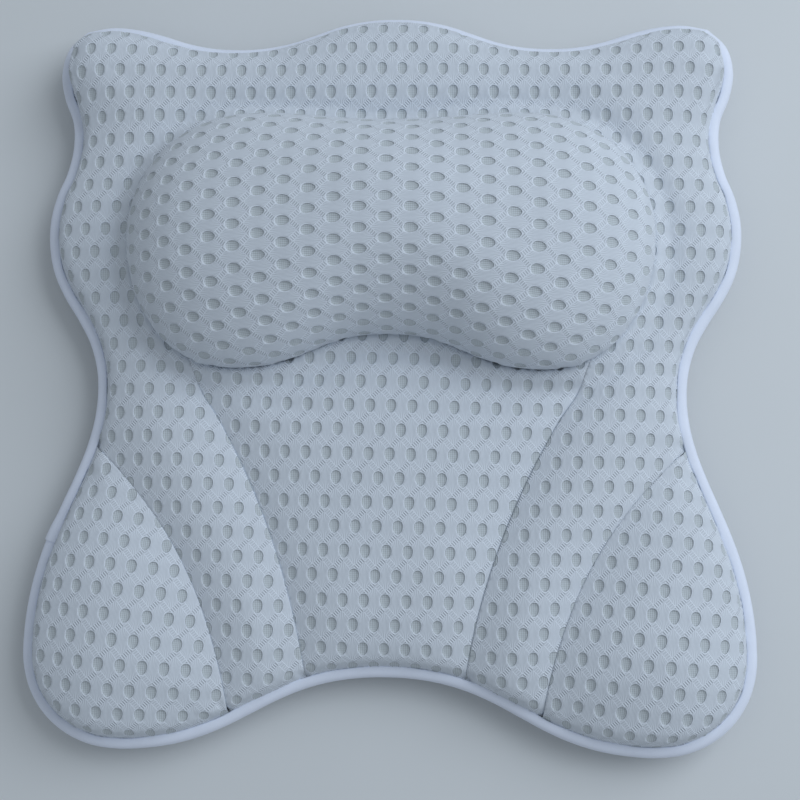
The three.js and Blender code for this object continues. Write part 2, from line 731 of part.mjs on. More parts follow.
const yokeForm = padForm(YOKE_CROWN, YOKE_ROUND, [atTape, atInner, atOuter]);
const centreForm = padForm(CENTRE_CROWN, CENTRE_ROUND, [atTape, atInner]);
const wingForm = padForm(WING_CROWN, WING_ROUND, [atTape, atOuter]);

const yokeRight = yokeRows();
const yoke = [...mirroredRows(yokeRight).reverse(), ...yokeRight.reverse().slice(1)];
const centre = centreRows();
const wings = { left: mirroredRows(wingRows()), right: wingRows() };

add("yoke_panel", netBody(yoke, yokeForm.face, yokeForm.lining), MESH_WHITE);
add("centre_panel", netBody(centre, centreForm.face, centreForm.lining), MESH_WHITE);
add("yoke_fill", filling(yoke, yokeForm), WADDING);
add("centre_fill", filling(centre, centreForm), WADDING);
for (const [side, rows] of Object.entries(wings)) {
  add(`${side}_wing_panel`, netBody(rows, wingForm.face, wingForm.lining), MESH_WHITE);
  add(`${side}_wing_fill`, filling(rows, wingForm), WADDING);
}
add("neck_roll_cover", rollCover(), MESH_WHITE);
add("neck_roll_fill", rollFill(), WADDING);
add("neck_roll_base", rollBase(), TAPE_WHITE);
add("edge_binding", binding(), TAPE_WHITE);
add("back_panel", backPanel(), MESH_WHITE);
for (const spot of cupSpots) {
  add(`anchor_patch_${spot.name}`, patch(spot), TAPE_WHITE);
  add(`suction_cup_${spot.name}`, suctionCup(spot), CLEAR_PVC);
}

export default group;
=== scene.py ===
"""Looks of a bath pillow: cushions of white spacer mesh, a neck roll, an edge tape and suction cups."""
import math

import bmesh
import bpy
import numpy as np
from mathutils import Matrix, Vector
from mathutils.geometry import delaunay_2d_cdt
from mathutils.kdtree import KDTree


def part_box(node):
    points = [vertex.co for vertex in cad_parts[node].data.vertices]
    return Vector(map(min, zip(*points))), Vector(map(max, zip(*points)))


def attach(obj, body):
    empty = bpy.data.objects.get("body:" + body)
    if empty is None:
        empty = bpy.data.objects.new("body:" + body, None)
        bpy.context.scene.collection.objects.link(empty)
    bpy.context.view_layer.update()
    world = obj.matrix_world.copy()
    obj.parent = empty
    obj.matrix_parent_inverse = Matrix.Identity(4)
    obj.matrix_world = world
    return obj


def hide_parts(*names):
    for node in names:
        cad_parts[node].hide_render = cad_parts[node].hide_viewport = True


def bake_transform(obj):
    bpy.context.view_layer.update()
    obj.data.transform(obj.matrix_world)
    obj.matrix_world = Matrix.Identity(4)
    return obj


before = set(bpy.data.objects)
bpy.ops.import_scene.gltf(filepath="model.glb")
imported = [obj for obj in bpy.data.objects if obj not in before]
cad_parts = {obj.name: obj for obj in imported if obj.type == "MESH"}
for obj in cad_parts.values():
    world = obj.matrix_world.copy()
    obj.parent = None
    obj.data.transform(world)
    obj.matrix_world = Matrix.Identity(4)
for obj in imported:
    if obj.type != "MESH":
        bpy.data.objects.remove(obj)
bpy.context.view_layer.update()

MM = 0.001
scene = bpy.context.scene

# Levels and edges that the frame gives.
LINING_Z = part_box("yoke_fill")[0].z
BACK_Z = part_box("back_panel")[0].z
BACK_TOP_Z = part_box("back_panel")[1].z
CUT_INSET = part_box("edge_binding")[1].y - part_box("back_panel")[1].y

# Knit of the spacer mesh: staggered eyelets in rows, with wales that run round them.
PITCH = 10.7 * MM
ROW = 12.2 * MM
EYELET_W = 4.8 * MM
EYELET_H = 6.5 * MM
EYELET_EGG = 0.16  # an eyelet's foot is narrower than its middle by this share, its head wider
EYELET_DEPTH = 0.8 * MM
EYELET_WALL = (0.75, 1.15)  # where its wall starts and ends, its rim being 1
EYELET_FADE = 5 * MM  # it is pressed in less when nearer to a sewn edge than this
LIP_RISE = 0.15 * MM  # of the cloth round an eyelet
LIP_AT = 1.3
LIP_WIDTH = 0.25
EYELET_TIP = 8.6 * MM  # where the wales beside an eyelet meet above and below it
WALES = 5  # in half a pitch
STITCH = 1.2 * MM
LEG_W = 2.2 * MM
BACK_GRID = 0.95 * MM  # knit of the far layer, seen through the eyelets

# How cloth is drawn and blown up.
SHEET_STEP = 4 * MM
FLAT_STEP = 5 * MM  # for cloth that lies flat
FINE_STEP = 0.5 * MM  # for outlines that distances are measured from
DOUBLES = 0.01 * MM  # corners of a node nearer than this are one
LOOKS_UP = 0.2  # least rise of an upper face's normal
CORNER_TURN = 0.6  # an outline has a corner where it turns by more than this, in radians
SHARP_TURN = math.radians(50)  # cut edges of cloth turn by more
SMOOTH_LEVELS = 2
MAP_ROUNDS = 300
MAP_PULL = 1.5
PUFF_FRAMES = 20
PUFF_PRESSURE = 3.0
PUFF_REACH = 4 * MM  # of a cushion's points
ROLL_PUFF_REACH = 5 * MM

# How a cushion rises from its seams, the edge tape and the roll.
SWELL_POWER = 2.4
RIM_Z = LINING_Z + 2.2 * MM
SEAM_GAP = 3 * MM  # panels nearer than this meet at a seam
SEAM_HOLD = 0.8 * MM
SEAM_SHARE = 0.68  # how high a field still stands at a seam
SEAM_ROUND = 34 * MM
WING_SHARE = 0.58  # a wing falls further, and over a longer way, to its seam
WING_ROUND = 64 * MM
UNDER_TAPE = 0.7 * CUT_INSET  # a field's edge is under the tape when it is nearer to the pad's edge than this
TAPE_COVER = 3.6 * MM  # of the sewn edge, under the tape
TAPE_SHARE = 0.45  # how high a field stands right beside the tape
TAPE_EDGE = 6 * MM
TAPE_ROUND = 60 * MM
TAPE_EASE = (0.4 * TAPE_EDGE, TAPE_EDGE)  # the sheet is free to puff from here on
HEAD_SHARE = 0.64  # the head end is stuffed fuller
HEAD_EDGE = 3.4 * MM
HEAD_ROUND = 26 * MM
HEAD_FROM = 125 * MM
HEAD_TO = 165 * MM
ROLL_SHARE = 0.7  # how high a field stands beside the roll
ROLL_ROUND = 30 * MM
ROLL_HOLD = 7 * MM
ROLL_EASE = (6 * MM, 10 * MM)
ROLL_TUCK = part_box("neck_roll_cover")[1].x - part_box("neck_roll_base")[1].x
ROLL_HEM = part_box("neck_roll_cover")[0].z + 3.4 * MM  # up to here the roll is pressed into the pad
HEM_LEAN = 0.25
HEM_ROUND = 12 * MM
HEM_BLEND = 2 * MM
SEAT_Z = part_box("neck_roll_base")[0].z - 0.3 * MM
SEAT_EDGE = 0.6 * ROLL_TUCK

SIDES = {"left": -1, "right": 1}  # with the sign of their x


def linear(hex_code):
    """A colour written as sRGB hex, in linear light."""
    parts = [int(hex_code[i:i + 2], 16) / 255 for i in (1, 3, 5)]
    return [*(p / 12.92 if p <= 0.04045 else ((p + 0.055) / 1.055) ** 2.4 for p in parts), 1.0]


def add(tree, kind, inputs=(), out=0, **settings):
    """Adds a node with its settings and links and gives back one of its outputs."""
    made = tree.nodes.new(kind)
    for name, value in settings.items():
        setattr(made, name, value)
    for key, value in inputs.items() if isinstance(inputs, dict) else enumerate(inputs):
        if isinstance(value, bpy.types.NodeSocket):
            tree.links.new(value, made.inputs[key])
        else:
            made.inputs[key].default_value = value
    return made.outputs[out]


def new_material(name):
    """An empty material, its node tree and its shader."""
    material = bpy.data.materials.new(name)
    material.use_nodes = True
    return material, material.node_tree, material.node_tree.nodes["Principled BSDF"]


def spacer_mesh(name, scale, cloth_colour, far_and_painted_shade_colour):
    """Warp-knitted polyester spacer mesh: matt white, smooth between the eyelets, with ladders of loose
    strands where the wales part, and the grey far layer inside each eyelet, its colour darkened further
    by painted shade that stands in for the depth of the eyelet's hollow."""
    material, tree, shader = new_material(name)
    half = PITCH / 2
    flat = add(tree, "ShaderNodeUVMap", out="UV", uv_map="cloth")
    flat = add(tree, "ShaderNodeVectorMath", {0: flat, "Scale": 1 / scale}, operation="SCALE")
    u = add(tree, "ShaderNodeSeparateXYZ", [flat], "X")
    v = add(tree, "ShaderNodeSeparateXYZ", [flat], "Y")
    across = add(tree, "ShaderNodeMath", [u, half], operation="PINGPONG")
    along = add(tree, "ShaderNodeMath", [v, ROW], operation="PINGPONG")

    # Distance from the nearest eyelet of either row, 1 at its rim, and half the room that the wales leave.
    reach = []
    spare = []
    other = add(tree, "ShaderNodeMath", [half, across], operation="SUBTRACT")
    for x, start in ((across, 0.0), (other, ROW)):
        y = add(tree, "ShaderNodeMath", [v, start], operation="ADD")
        y = add(tree, "ShaderNodeMath", [y, ROW, -ROW], operation="WRAP")
        egg = add(tree, "ShaderNodeMath", [y, -2 * EYELET_EGG / EYELET_H, 1.0], operation="MULTIPLY_ADD")
        egg = add(tree, "ShaderNodeMath", [x, egg], operation="MULTIPLY")
        spot = add(tree, "ShaderNodeCombineXYZ", [egg, y])
        spot = add(tree, "ShaderNodeVectorMath", [spot, (EYELET_W / 2, EYELET_H / 2, 1)], operation="DIVIDE")
        reach.append(add(tree, "ShaderNodeVectorMath", [spot], "Value", operation="LENGTH"))
        share = add(tree, "ShaderNodeMath", [y, EYELET_TIP / 2], operation="DIVIDE")
        share = add(tree, "ShaderNodeMath", [share, share], operation="MULTIPLY")
        share = add(tree, "ShaderNodeMath", [1.0, share], operation="SUBTRACT")
        share = add(tree, "ShaderNodeMath", [share, 0.0], operation="MAXIMUM")
        share = add(tree, "ShaderNodeMath", [share], operation="SQRT")
        spare.append(add(tree, "ShaderNodeMath", [share, EYELET_W / 2], operation="MULTIPLY"))
    near = add(tree, "ShaderNodeMath", reach, operation="MINIMUM")
    inside = add(tree, "ShaderNodeMapRange", [near, 1.08, 0.94], interpolation_type="SMOOTHSTEP")

    # Wales counted from one eyelet's edge to the next one's.
    room = add(tree, "ShaderNodeMath", [half, spare[1]], operation="SUBTRACT")
    room = add(tree, "ShaderNodeMath", [room, spare[0]], operation="SUBTRACT")
    wale = add(tree, "ShaderNodeMath", [across, spare[0]], operation="SUBTRACT")
    wale = add(tree, "ShaderNodeMath", [wale, room], operation="DIVIDE")
    wale = add(tree, "ShaderNodeMath", [wale, 2 * math.pi * WALES], operation="MULTIPLY")
    wale = add(tree, "ShaderNodeMath", [wale], operation="COSINE")

    # Legs from one eyelet's tip to the next one's: rungs across them and a strand along each side.
    slope = Vector((half, ROW - EYELET_H)).normalized()
    spot = add(tree, "ShaderNodeCombineXYZ", [across, along])
    spot = add(tree, "ShaderNodeVectorMath", [spot, (0, EYELET_H / 2, 0)], operation="SUBTRACT")
    down = add(tree, "ShaderNodeVectorMath", [spot, (slope.x, slope.y, 0)], "Value", operation="DOT_PRODUCT")
    side_on = (slope.y, -slope.x, 0)
    aside = add(tree, "ShaderNodeVectorMath", [spot, side_on], "Value", operation="DOT_PRODUCT")
    aside = add(tree, "ShaderNodeMath", [aside], operation="ABSOLUTE")
    leg = add(tree, "ShaderNodeMapRange", [aside, LEG_W * 0.6, LEG_W * 0.4], interpolation_type="SMOOTHSTEP")
    rung = add(tree, "ShaderNodeMath", [down, 2 * math.pi / STITCH], operation="MULTIPLY")
    rung = add(tree, "ShaderNodeMath", [rung], operation="COSINE")
    beside = add(tree, "ShaderNodeMath", [aside, LEG_W * 0.62, 0.22 * MM], operation="COMPARE")
    around = add(tree, "ShaderNodeMath", [near, 1.16, 0.06], operation="COMPARE")

    # Legs that fall to the right carry the bright strand, the others show their rungs.
    lean = []
    for axis, size in ((u, PITCH), (v, 2 * ROW)):
        turn = add(tree, "ShaderNodeMath", [axis, 2 * math.pi / size], operation="MULTIPLY")
        lean.append(add(tree, "ShaderNodeMath", [turn], operation="SINE"))
    lean = add(tree, "ShaderNodeMath", lean, operation="MULTIPLY")
    rungs_show = add(tree, "ShaderNodeMapRange", [lean, -0.1, 0.1, 0.55, 1.0])
    strand_shows = add(tree, "ShaderNodeMapRange", [lean, -0.1, 0.1, 1.0, 0.35])
    rung = add(tree, "ShaderNodeMath", [rung, rungs_show], operation="MULTIPLY")
    beside = add(tree, "ShaderNodeMath", [beside, strand_shows], operation="MULTIPLY")
    strand = add(tree, "ShaderNodeMath", [beside, around], operation="MAXIMUM")
    wale = add(tree, "ShaderNodeMath", [wale, 0.32], operation="MULTIPLY")
    knit = add(tree, "ShaderNodeMix", {0: leg, 2: wale, 3: rung})
    knit = add(tree, "ShaderNodeMix", {0: strand, 2: knit, 3: 0.9})

    # The far layer, a fine knit of wales with weaker courses.
    grid = 0.0
    for axis, part in ((u, 0.65), (v, 0.35)):
        turn = add(tree, "ShaderNodeMath", [axis, 2 * math.pi / BACK_GRID], operation="MULTIPLY")
        turn = add(tree, "ShaderNodeMath", [turn], operation="COSINE")
        grid = add(tree, "ShaderNodeMath", [turn, part, grid], operation="MULTIPLY_ADD")

    drift = add(tree, "ShaderNodeTexNoise", {"Vector": flat, "Scale": 1 / (35 * MM), "Detail": 3.0}, "Fac")
    shade = add(tree, "ShaderNodeMapRange", {"Value": drift, "To Min": 0.95, "To Max": 1.03})
    thread = add(tree, "ShaderNodeMapRange", [knit, -1.0, 1.0, 0.66, 1.02])
    shade = add(tree, "ShaderNodeMath", [shade, thread], operation="MULTIPLY")
    tint = {0: 1.0, 6: linear(cloth_colour), 7: shade}
    cloth = add(tree, "ShaderNodeMix", tint, 2, data_type="RGBA", blend_type="MULTIPLY")
    # Inside the eyelets: the far layer's own grey and fine knit, darkened with painted shade of the hollow's
    # depth.
    far_shade = add(tree, "ShaderNodeMapRange", [grid, -1.0, 1.0, 0.76, 1.12])
    tint = {0: 1.0, 6: linear(far_and_painted_shade_colour), 7: far_shade}
    far = add(tree, "ShaderNodeMix", tint, 2, data_type="RGBA", blend_type="MULTIPLY")
    colour = add(tree, "ShaderNodeMix", {0: inside, 6: cloth, 7: far}, 2, data_type="RGBA")
    sunk = add(tree, "ShaderNodeMapRange", [grid, -1.0, 1.0, -3.0, -2.4])
    relief = add(tree, "ShaderNodeMix", {0: inside, 2: knit, 3: sunk})
    bump = add(tree, "ShaderNodeBump", {"Height": relief, "Distance": 0.2 * MM * scale, "Strength": 0.8})
    tree.links.new(colour, shader.inputs["Base Color"])
    tree.links.new(bump, shader.inputs["Normal"])
    shader.inputs["Roughness"].default_value = 0.82
    shader.inputs["Specular IOR Level"].default_value = 0.3
    shader.inputs["Sheen Weight"].default_value = 0.15
    shader.inputs["Sheen Roughness"].default_value = 0.5
    return material


def woven_tape():
    """Woven polyester binding tape: satin white with a lavender cast and fine ribs across its run, drawn
    twice as coarse as they are so that they show."""
    material, tree, shader = new_material("woven_binding_tape")
    run = add(tree, "ShaderNodeUVMap", out="UV", uv_map="tape")
    ribs = add(tree, "ShaderNodeSeparateXYZ", [run], "X")
    ribs = add(tree, "ShaderNodeMath", [ribs, 2 * math.pi / (0.8 * MM)], operation="MULTIPLY")
    ribs = add(tree, "ShaderNodeMath", [ribs], operation="SINE")
    drift = add(tree, "ShaderNodeTexNoise", {"Vector": run, "Scale": 1 / (14 * MM), "Detail": 3.0}, "Fac")
    shade = add(tree, "ShaderNodeMapRange", {"Value": drift, "To Min": 0.92, "To Max": 1.04})
    tint = {0: 1.0, 6: linear("#e8efff"), 7: shade}
    colour = add(tree, "ShaderNodeMix", tint, 2, data_type="RGBA", blend_type="MULTIPLY")
    bump = add(tree, "ShaderNodeBump", {"Height": ribs, "Distance": 0.05 * MM, "Strength": 0.35})
    tree.links.new(colour, shader.inputs["Base Color"])
    tree.links.new(bump, shader.inputs["Normal"])
    shader.inputs["Roughness"].default_value = 0.55
    shader.inputs["Sheen Weight"].default_value = 0.2
    return material


def plain_weave():
    """Plain-woven polyester cloth: white, matt, with crossing threads drawn three times as coarse as they
    are so that they show."""
    material, tree, shader = new_material("plain_woven_cloth")
    place = add(tree, "ShaderNodeTexCoord", out="Object")
    threads = []
    for axis in ("X", "Y"):
        turn = add(tree, "ShaderNodeSeparateXYZ", [place], axis)
        turn = add(tree, "ShaderNodeMath", [turn, 2 * math.pi / (1.2 * MM)], operation="MULTIPLY")
        threads.append(add(tree, "ShaderNodeMath", [turn], operation="SINE"))
    weave = add(tree, "ShaderNodeMath", threads, operation="MULTIPLY")
    shade = add(tree, "ShaderNodeMapRange", [weave, -1.0, 1.0, 0.86, 1.03])
    tint = {0: 1.0, 6: linear("#e6e7ee"), 7: shade}
    colour = add(tree, "ShaderNodeMix", tint, 2, data_type="RGBA", blend_type="MULTIPLY")
    bump = add(tree, "ShaderNodeBump", {"Height": weave, "Distance": 0.12 * MM, "Strength": 0.6})
    tree.links.new(colour, shader.inputs["Base Color"])
    tree.links.new(bump, shader.inputs["Normal"])
    shader.inputs["Roughness"].default_value = 0.8
    return material


def soft_pvc():
    """Moulded soft PVC: clear with a faint cool tint, glossy, a little cloudy where it is handled."""
    material, tree, shader = new_material("moulded_clear_pvc")
    place = add(tree, "ShaderNodeTexCoord", out="Object")
    haze = add(tree, "ShaderNodeTexNoise", {"Vector": place, "Scale": 1 / (9 * MM), "Detail": 4.0}, "Fac")
    rough = add(tree, "ShaderNodeMapRange", [haze, 0.35, 0.75, 0.1, 0.24])
    tree.links.new(rough, shader.inputs["Roughness"])
    shader.inputs["Base Color"].default_value = linear("#dfe9ec")
    shader.inputs["Transmission Weight"].default_value = 0.88
    shader.inputs["IOR"].default_value = 1.53
    return material


def sewing_thread():
    """Spun polyester thread: white and slightly glossy, with a fine twist."""
    material, tree, shader = new_material("spun_polyester_thread")
    place = add(tree, "ShaderNodeTexCoord", out="Object")
    twist = add(tree, "ShaderNodeTexNoise", {"Vector": place, "Scale": 1 / (0.8 * MM), "Detail": 2.0}, "Fac")
    shade = add(tree, "ShaderNodeMapRange", {"Value": twist, "To Min": 0.85, "To Max": 1.05})
    tint = {0: 1.0, 6: linear("#f0f1f6"), 7: shade}
    colour = add(tree, "ShaderNodeMix", tint, 2, data_type="RGBA", blend_type="MULTIPLY")
    tree.links.new(colour, shader.inputs["Base Color"])
    shader.inputs["Roughness"].default_value = 0.5
    return material


def pale_board():
    """Painted board under the pillow: smooth, pale and cool, a little uneven in tone."""
    material, tree, shader = new_material("pale_painted_board")
    place = add(tree, "ShaderNodeTexCoord", out="Object")
    drift = add(tree, "ShaderNodeTexNoise", {"Vector": place, "Scale": 6.0, "Detail": 2.0}, "Fac")
    shade = add(tree, "ShaderNodeMapRange", {"Value": drift, "To Min": 0.97, "To Max": 1.02})
    tint = {0: 1.0, 6: linear("#dbdfe2"), 7: shade}
    colour = add(tree, "ShaderNodeMix", tint, 2, data_type="RGBA", blend_type="MULTIPLY")
    tree.links.new(colour, shader.inputs["Base Color"])
    shader.inputs["Roughness"].default_value = 0.55
    return material


# The last colour of each is the far layer inside the eyelets, darkened with painted shade of the hollow.
MESH_CLOTH = spacer_mesh("knitted_spacer_mesh", 1.0, "#e8f0fb", "#c6ced4")
BACK_CLOTH = spacer_mesh("fine_spacer_mesh", 0.5, "#e6e9ee", "#a9b0b4")
TAPE_CLOTH = woven_tape()
PLAIN_CLOTH = plain_weave()
CLEAR_PVC = soft_pvc()
THREAD = sewing_thread()


def piece_of(name, bm, material):
    """A smooth-shaded object at the origin made of a bmesh."""
    mesh = bpy.data.meshes.new(name)
    bm.to_mesh(mesh)
    bm.free()
    mesh.shade_smooth()
    mesh.materials.append(material)
    piece = bpy.data.objects.new(name, mesh)
    scene.collection.objects.link(piece)
    return piece


def points_of(mesh):
    """Where a mesh's points are."""
    flat = np.empty(len(mesh.vertices) * 3, np.float32)
    mesh.vertices.foreach_get("co", flat)
    return flat.reshape(-1, 3).astype(float)


def put_points(mesh, points):
    """Moves a mesh's points."""
    mesh.vertices.foreach_set("co", points.astype(np.float32).ravel())
    mesh.update()


def copy_of(node):
    """A bmesh of a node's own mesh, with its corners joined."""
    bm = bmesh.new()
    bm.from_mesh(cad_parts[node].data)
    bmesh.ops.remove_doubles(bm, verts=bm.verts, dist=DOUBLES)
    bm.normal_update()
    return bm


def rim_of(bm):
    """The longest boundary loop of an open mesh, as an array of points."""
    bm.edges.index_update()
    left = {e.index: e for e in bm.edges if e.is_boundary}
    loops = []
    while left:
        edge = left.pop(min(left))
        loop = [edge.verts[0], edge.verts[1]]
        while True:
            onward = [e for e in loop[-1].link_edges if e.index in left]
            if not onward:
                break
            edge = left.pop(onward[0].index)
            loop.append(edge.other_vert(loop[-1]))
        loops.append(np.array([v.co for v in loop[:-1]]))
    return max(loops, key=len)


def upper_rim(node):
    """The rim of a node's upper faces."""
    bm = copy_of(node)
    bmesh.ops.delete(bm, geom=[f for f in bm.faces if f.normal.z < LOOKS_UP], context="FACES")
    rim = rim_of(bm)
    bm.free()
    return rim


def run_of(points):
    """How far along a line each of its points lies."""
    return np.concatenate([[0], np.cumsum(np.linalg.norm(np.diff(points, axis=0), axis=1))])


def eased(points, step):
    """A smooth line through points, with even steps."""
    t = run_of(points)
    slope = np.gradient(points, t, axis=0)
    at = np.linspace(0, t[-1], max(2, round(t[-1] / step) + 1))
    i = np.clip(np.searchsorted(t, at, side="right") - 1, 0, len(t) - 2)
    h = (t[i + 1] - t[i])[:, None]
    s = (at - t[i])[:, None] / h
    ends = (1 + 2 * s) * (1 - s) ** 2 * points[i] + s * s * (3 - 2 * s) * points[i + 1]
    return ends + h * (s * (1 - s) ** 2 * slope[i] + s * s * (s - 1) * slope[i + 1])


def resampled(loop, step):
    """A closed loop of points as a smooth one with even steps that keeps its corners."""
    into = (loop - np.roll(loop, 1, 0))[:, :2]
    out = (np.roll(loop, -1, 0) - loop)[:, :2]
    cross = into[:, 0] * out[:, 1] - into[:, 1] * out[:, 0]
    turn = np.abs(np.arctan2(cross, (into * out).sum(1)))
    corners = list(np.flatnonzero(turn > CORNER_TURN))
    if not corners:
        around = np.concatenate([loop, loop, loop])
        n = len(loop)
        line = eased(around[n - 3:2 * n + 4], step)
        first = np.argmin(np.linalg.norm(line - loop[0], axis=1)[:len(line) // 2])
        last = len(line) // 2 + np.argmin(np.linalg.norm(line - loop[0], axis=1)[len(line) // 2:])
        return line[first:last]
    stretches = []
    for a, b in zip(corners, corners[1:] + [corners[0] + len(loop)]):
        stretch = np.take(loop, range(a, b + 1), axis=0, mode="wrap")
        stretches.append(eased(stretch, step)[:-1] if len(stretch) > 2 else stretch[:-1])
    return np.concatenate(stretches)


def signed_area(outline):
    """An outline's area seen from above, less than nothing where it runs clockwise."""
    around = np.roll(outline, -1, 0)
    return (outline[:, 0] * around[:, 1] - outline[:, 1] * around[:, 0]).sum() / 2


def outward(outline):
    """Directions straight out of a closed outline, seen from above."""
    run = (np.roll(outline, -1, 0) - np.roll(outline, 1, 0))[:, :2]
    run /= np.linalg.norm(run, axis=1, keepdims=True)
    return np.column_stack([run[:, 1], -run[:, 0]]) * np.sign(signed_area(outline))


def within(points, outline):
    """Which points lie inside a flat outline."""
    a = outline[:, None, :2]
    b = np.roll(outline, -1, 0)[:, None, :2]
    x, y = points[None, :, 0], points[None, :, 1]
    spans = (a[..., 1] > y) != (b[..., 1] > y)
    rise = np.where(b[..., 1] == a[..., 1], 1, b[..., 1] - a[..., 1])
    crossing = a[..., 0] + (y - a[..., 1]) * (b[..., 0] - a[..., 0]) / rise
    return (spans & (x < crossing)).sum(0) % 2 == 1


def gap_to(points, outline):
    """How far points are, seen from above, from an outline's own points."""
    tree = KDTree(len(outline))
    for i, point in enumerate(outline):
        tree.insert((point[0], point[1], 0), i)
    tree.balance()
    return np.array([tree.find((point[0], point[1], 0))[2] for point in points])


def spread(outline, step, holes=()):
    """Even triangles inside an outline and outside holes: their points and a staggered grid within."""
    low, high = outline.min(0), outline.max(0)
    rows = np.arange(low[1], high[1], step * math.sqrt(3) / 2)
    grid = []
    for k, y in enumerate(rows):
        xs = np.arange(low[0] + step / 2 * (k % 2), high[0], step)
        grid.append(np.column_stack([xs, np.full(len(xs), y)]))
    grid = np.concatenate(grid)
    grid = grid[within(grid, outline)]
    rims = [outline[:, :2], *holes]
    for hole in holes:
        grid = grid[~within(grid, hole)]
    for rim in rims:
        grid = grid[gap_to(grid, rim) > 0.7 * step]
    ring, edges = 0, []
    for rim in rims:
        n = len(rim)
        edges += [(ring + i, ring + (i + 1) % n) for i in range(n)]
        ring += n
    flat = [Vector(p) for p in np.concatenate([*rims, grid])]
    corners, _, faces, *_ = delaunay_2d_cdt(flat, edges, [], 1, 1e-7)
    centres = np.array([np.mean([corners[i] for i in face], axis=0) for face in faces])
    open_to = np.zeros(len(faces), bool)
    for hole in holes:
        open_to |= within(centres, hole)
    bm = bmesh.new()
    made = [bm.verts.new((c.x, c.y, 0)) for c in corners]
    for i in np.flatnonzero(~open_to):
        bm.faces.new([made[k] for k in faces[i]])
    bm.normal_update()
    return bm


def puffed(piece, held, reach):
    """Blows a sheet up for a moment as cloth with its held points fixed, each point moving at most reach."""
    start = points_of(piece.data)
    group = piece.vertex_groups.new(name="held")
    group.add([int(i) for i in np.flatnonzero(held)], 1.0, "REPLACE")
    cloth = piece.modifiers.new("Cloth", "CLOTH")
    cloth.settings.quality = 5
    cloth.settings.vertex_group_mass = "held"
    cloth.settings.use_pressure = True
    cloth.settings.uniform_pressure_force = PUFF_PRESSURE
    cloth.settings.effector_weights.gravity = 0
    for number in range(1, PUFF_FRAMES + 1):
        scene.frame_set(number)
    blown = piece.evaluated_get(bpy.context.evaluated_depsgraph_get())
    move = points_of(blown.data) - start
    far = np.linalg.norm(move, axis=1, keepdims=True)
    piece.modifiers.remove(cloth)
    piece.vertex_groups.remove(group)
    scene.frame_set(1)
    put_points(piece.data, start + move * np.minimum(1, reach / np.maximum(far, 1e-9)))


def corner_points(mesh):
    """Which point each corner of a mesh's faces is."""
    owner = np.empty(len(mesh.loops), np.int32)
    mesh.loops.foreach_get("vertex_index", owner)
    return owner


def uvs_of(mesh, name):
    """A UV map as one pair for each point."""
    uvs = np.empty(len(mesh.loops) * 2, np.float32)
    mesh.uv_layers[name].data.foreach_get("uv", uvs)
    flat = np.zeros((len(mesh.vertices), 2))
    flat[corner_points(mesh)] = uvs.reshape(-1, 2)
    return flat


def put_uvs(mesh, name, flat):
    """Sets a UV map from one pair for each point."""
    layer = mesh.uv_layers.get(name) or mesh.uv_layers.new(name=name)
    layer.data.foreach_set("uv", flat[corner_points(mesh)].astype(np.float32).ravel())


def cloth_map(piece, grain):
    """Lays a cushion's cloth out flat: its plan, eased until its edges have their real lengths."""
    mesh = piece.data
    place = points_of(mesh)
    n = len(place)
    ends = np.empty(len(mesh.edges) * 2, np.int32)
    mesh.edges.foreach_get("vertices", ends)
    a, b = ends.reshape(-1, 2).T
    real = np.linalg.norm(place[a] - place[b], axis=1)
    count = np.bincount(np.concatenate([a, b]), minlength=n)[:, None]
    flat = place[:, :2].copy()
    for _ in range(MAP_ROUNDS):
        gap = flat[b] - flat[a]
        size = np.maximum(np.linalg.norm(gap, axis=1), 1e-9)
        move = gap * (0.5 * (size - real) / size)[:, None]
        pull = np.zeros_like(flat)
        for axis in range(2):
            pull[:, axis] = np.bincount(a, move[:, axis], n) - np.bincount(b, move[:, axis], n)
        flat += pull / count * MAP_PULL
    put_map(mesh, flat, grain)


def put_map(mesh, flat, grain):
    """Keeps a flat lay-out, turned and shifted by the grain's angle and place, as the map that the knit
    follows."""
    turn = math.radians(grain[2])
    spin = np.array([[math.cos(turn), -math.sin(turn)], [math.sin(turn), math.cos(turn)]])
    put_uvs(mesh, "cloth", flat @ spin + np.array(grain[:2]))


def laid_flat(piece):
    """Unwraps a rounded sheet at its real size, with its length along the pillow's width."""
    bpy.ops.object.select_all(action="DESELECT")
    bpy.context.view_layer.objects.active = piece
    piece.select_set(True)
    piece.data.uv_layers.new(name="cloth")
    bpy.ops.object.mode_set(mode="EDIT")
    bpy.ops.mesh.select_all(action="SELECT")
    bpy.ops.uv.unwrap(method="MINIMUM_STRETCH", iterations=20)
    bpy.ops.object.mode_set(mode="OBJECT")
    mesh = piece.data
    flat = uvs_of(mesh, "cloth")
    place = points_of(mesh)
    mesh.calc_loop_triangles()
    corners = np.array([t.vertices for t in mesh.loop_triangles])
    a, b, c = (place[corners[:, k]] for k in range(3))
    real = np.linalg.norm(np.cross(b - a, c - a), axis=1).sum()
    a, b, c = (flat[corners[:, k]] for k in range(3))
    drawn = np.abs((b - a)[:, 0] * (c - a)[:, 1] - (b - a)[:, 1] * (c - a)[:, 0]).sum()
    flat = (flat - flat.mean(0)) * math.sqrt(real / drawn)
    level = place[:, :2] - place[:, :2].mean(0)
    spin = math.atan2((flat[:, 0] * level[:, 1] - flat[:, 1] * level[:, 0]).sum(), (flat * level).sum())
    turn = np.array([[math.cos(spin), math.sin(spin)], [-math.sin(spin), math.cos(spin)]])
    return flat @ turn + place[:, :2].mean(0)


def applied(piece):
    """Keeps the shape that a piece's modifiers give it."""
    whole = piece.evaluated_get(bpy.context.evaluated_depsgraph_get())
    piece.data = bpy.data.meshes.new_from_object(whole)
    piece.modifiers.clear()


def refined(piece):
    """Subdivides a sheet smoothly."""
    smooth = piece.modifiers.new("Subdivision", "SUBSURF")
    smooth.levels = SMOOTH_LEVELS
    smooth.render_levels = SMOOTH_LEVELS
    smooth.boundary_smooth = "PRESERVE_CORNERS"
    applied(piece)


